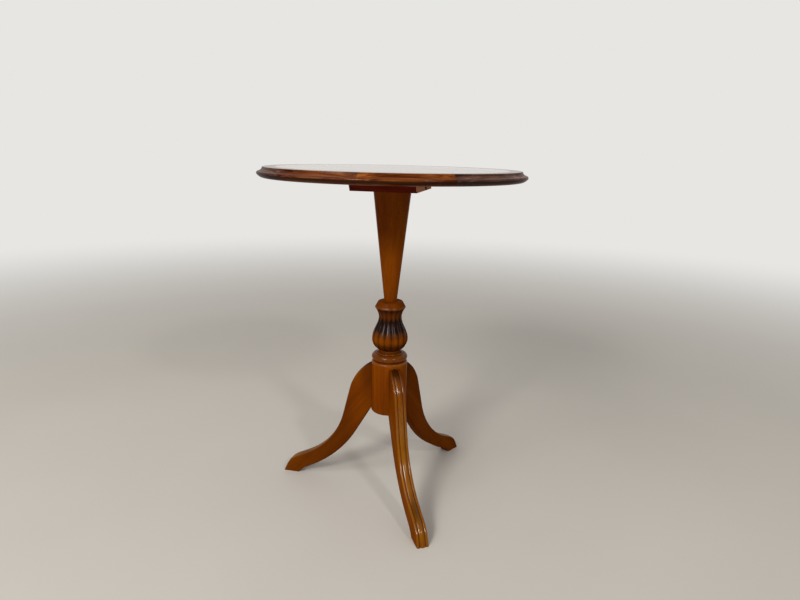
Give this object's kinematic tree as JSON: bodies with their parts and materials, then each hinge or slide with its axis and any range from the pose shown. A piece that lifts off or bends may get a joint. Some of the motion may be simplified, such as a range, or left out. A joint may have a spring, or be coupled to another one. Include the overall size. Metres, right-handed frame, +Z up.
{
  "type": "pedestal side table",
  "caption": "Round pedestal side table: veneered top with moulded edge, tapered shaft, reeded vase and drum on reeded sabre legs.",
  "frame": {"origin": "on the floor, under the axis of the column", "axes": "+Z up the column; the left leg points along -X and the joint of the bearer runs along X"},
  "size_m": [0.45, 0.45, 0.5885],
  "materials": {
    "board_core": "unfinished core board",
    "face_veneer": "red-brown veneer, gloss lacquer",
    "back_veneer": "plain veneer, dark stain, matt",
    "edge_wood": "stained, satin lacquer",
    "bearer_wood": "dark stain, satin",
    "screw_steel": "zinc plated",
    "column_wood": "stained, rubbed dark in the grooves, gloss lacquer",
    "plain_hardwood": "unfinished",
    "leg_wood": "stained, rubbed dark in the grooves, gloss lacquer"
  },
  "bodies": {
    "root": {"top_board": "board_core", "face_veneer": "face_veneer", "back_veneer": "back_veneer", "edge_segment_01": "edge_wood", "edge_segment_02": "edge_wood", "edge_segment_03": "edge_wood", "edge_segment_04": "edge_wood", "edge_segment_05": "edge_wood", "edge_segment_06": "edge_wood", "edge_segment_07": "edge_wood", "edge_segment_08": "edge_wood", "edge_segment_09": "edge_wood", "edge_segment_10": "edge_wood", "bearer_board_front": "bearer_wood", "bearer_board_rear": "bearer_wood", "bearer_screws": "screw_steel", "column_shaft": "column_wood", "tenon_wedge": "plain_hardwood", "reeded_vase": "column_wood", "base_drum": "column_wood", "leg_dowels": "plain_hardwood", "leg_left": "leg_wood", "leg_front": "leg_wood", "leg_right": "leg_wood"}
  },
  "joints": []
}
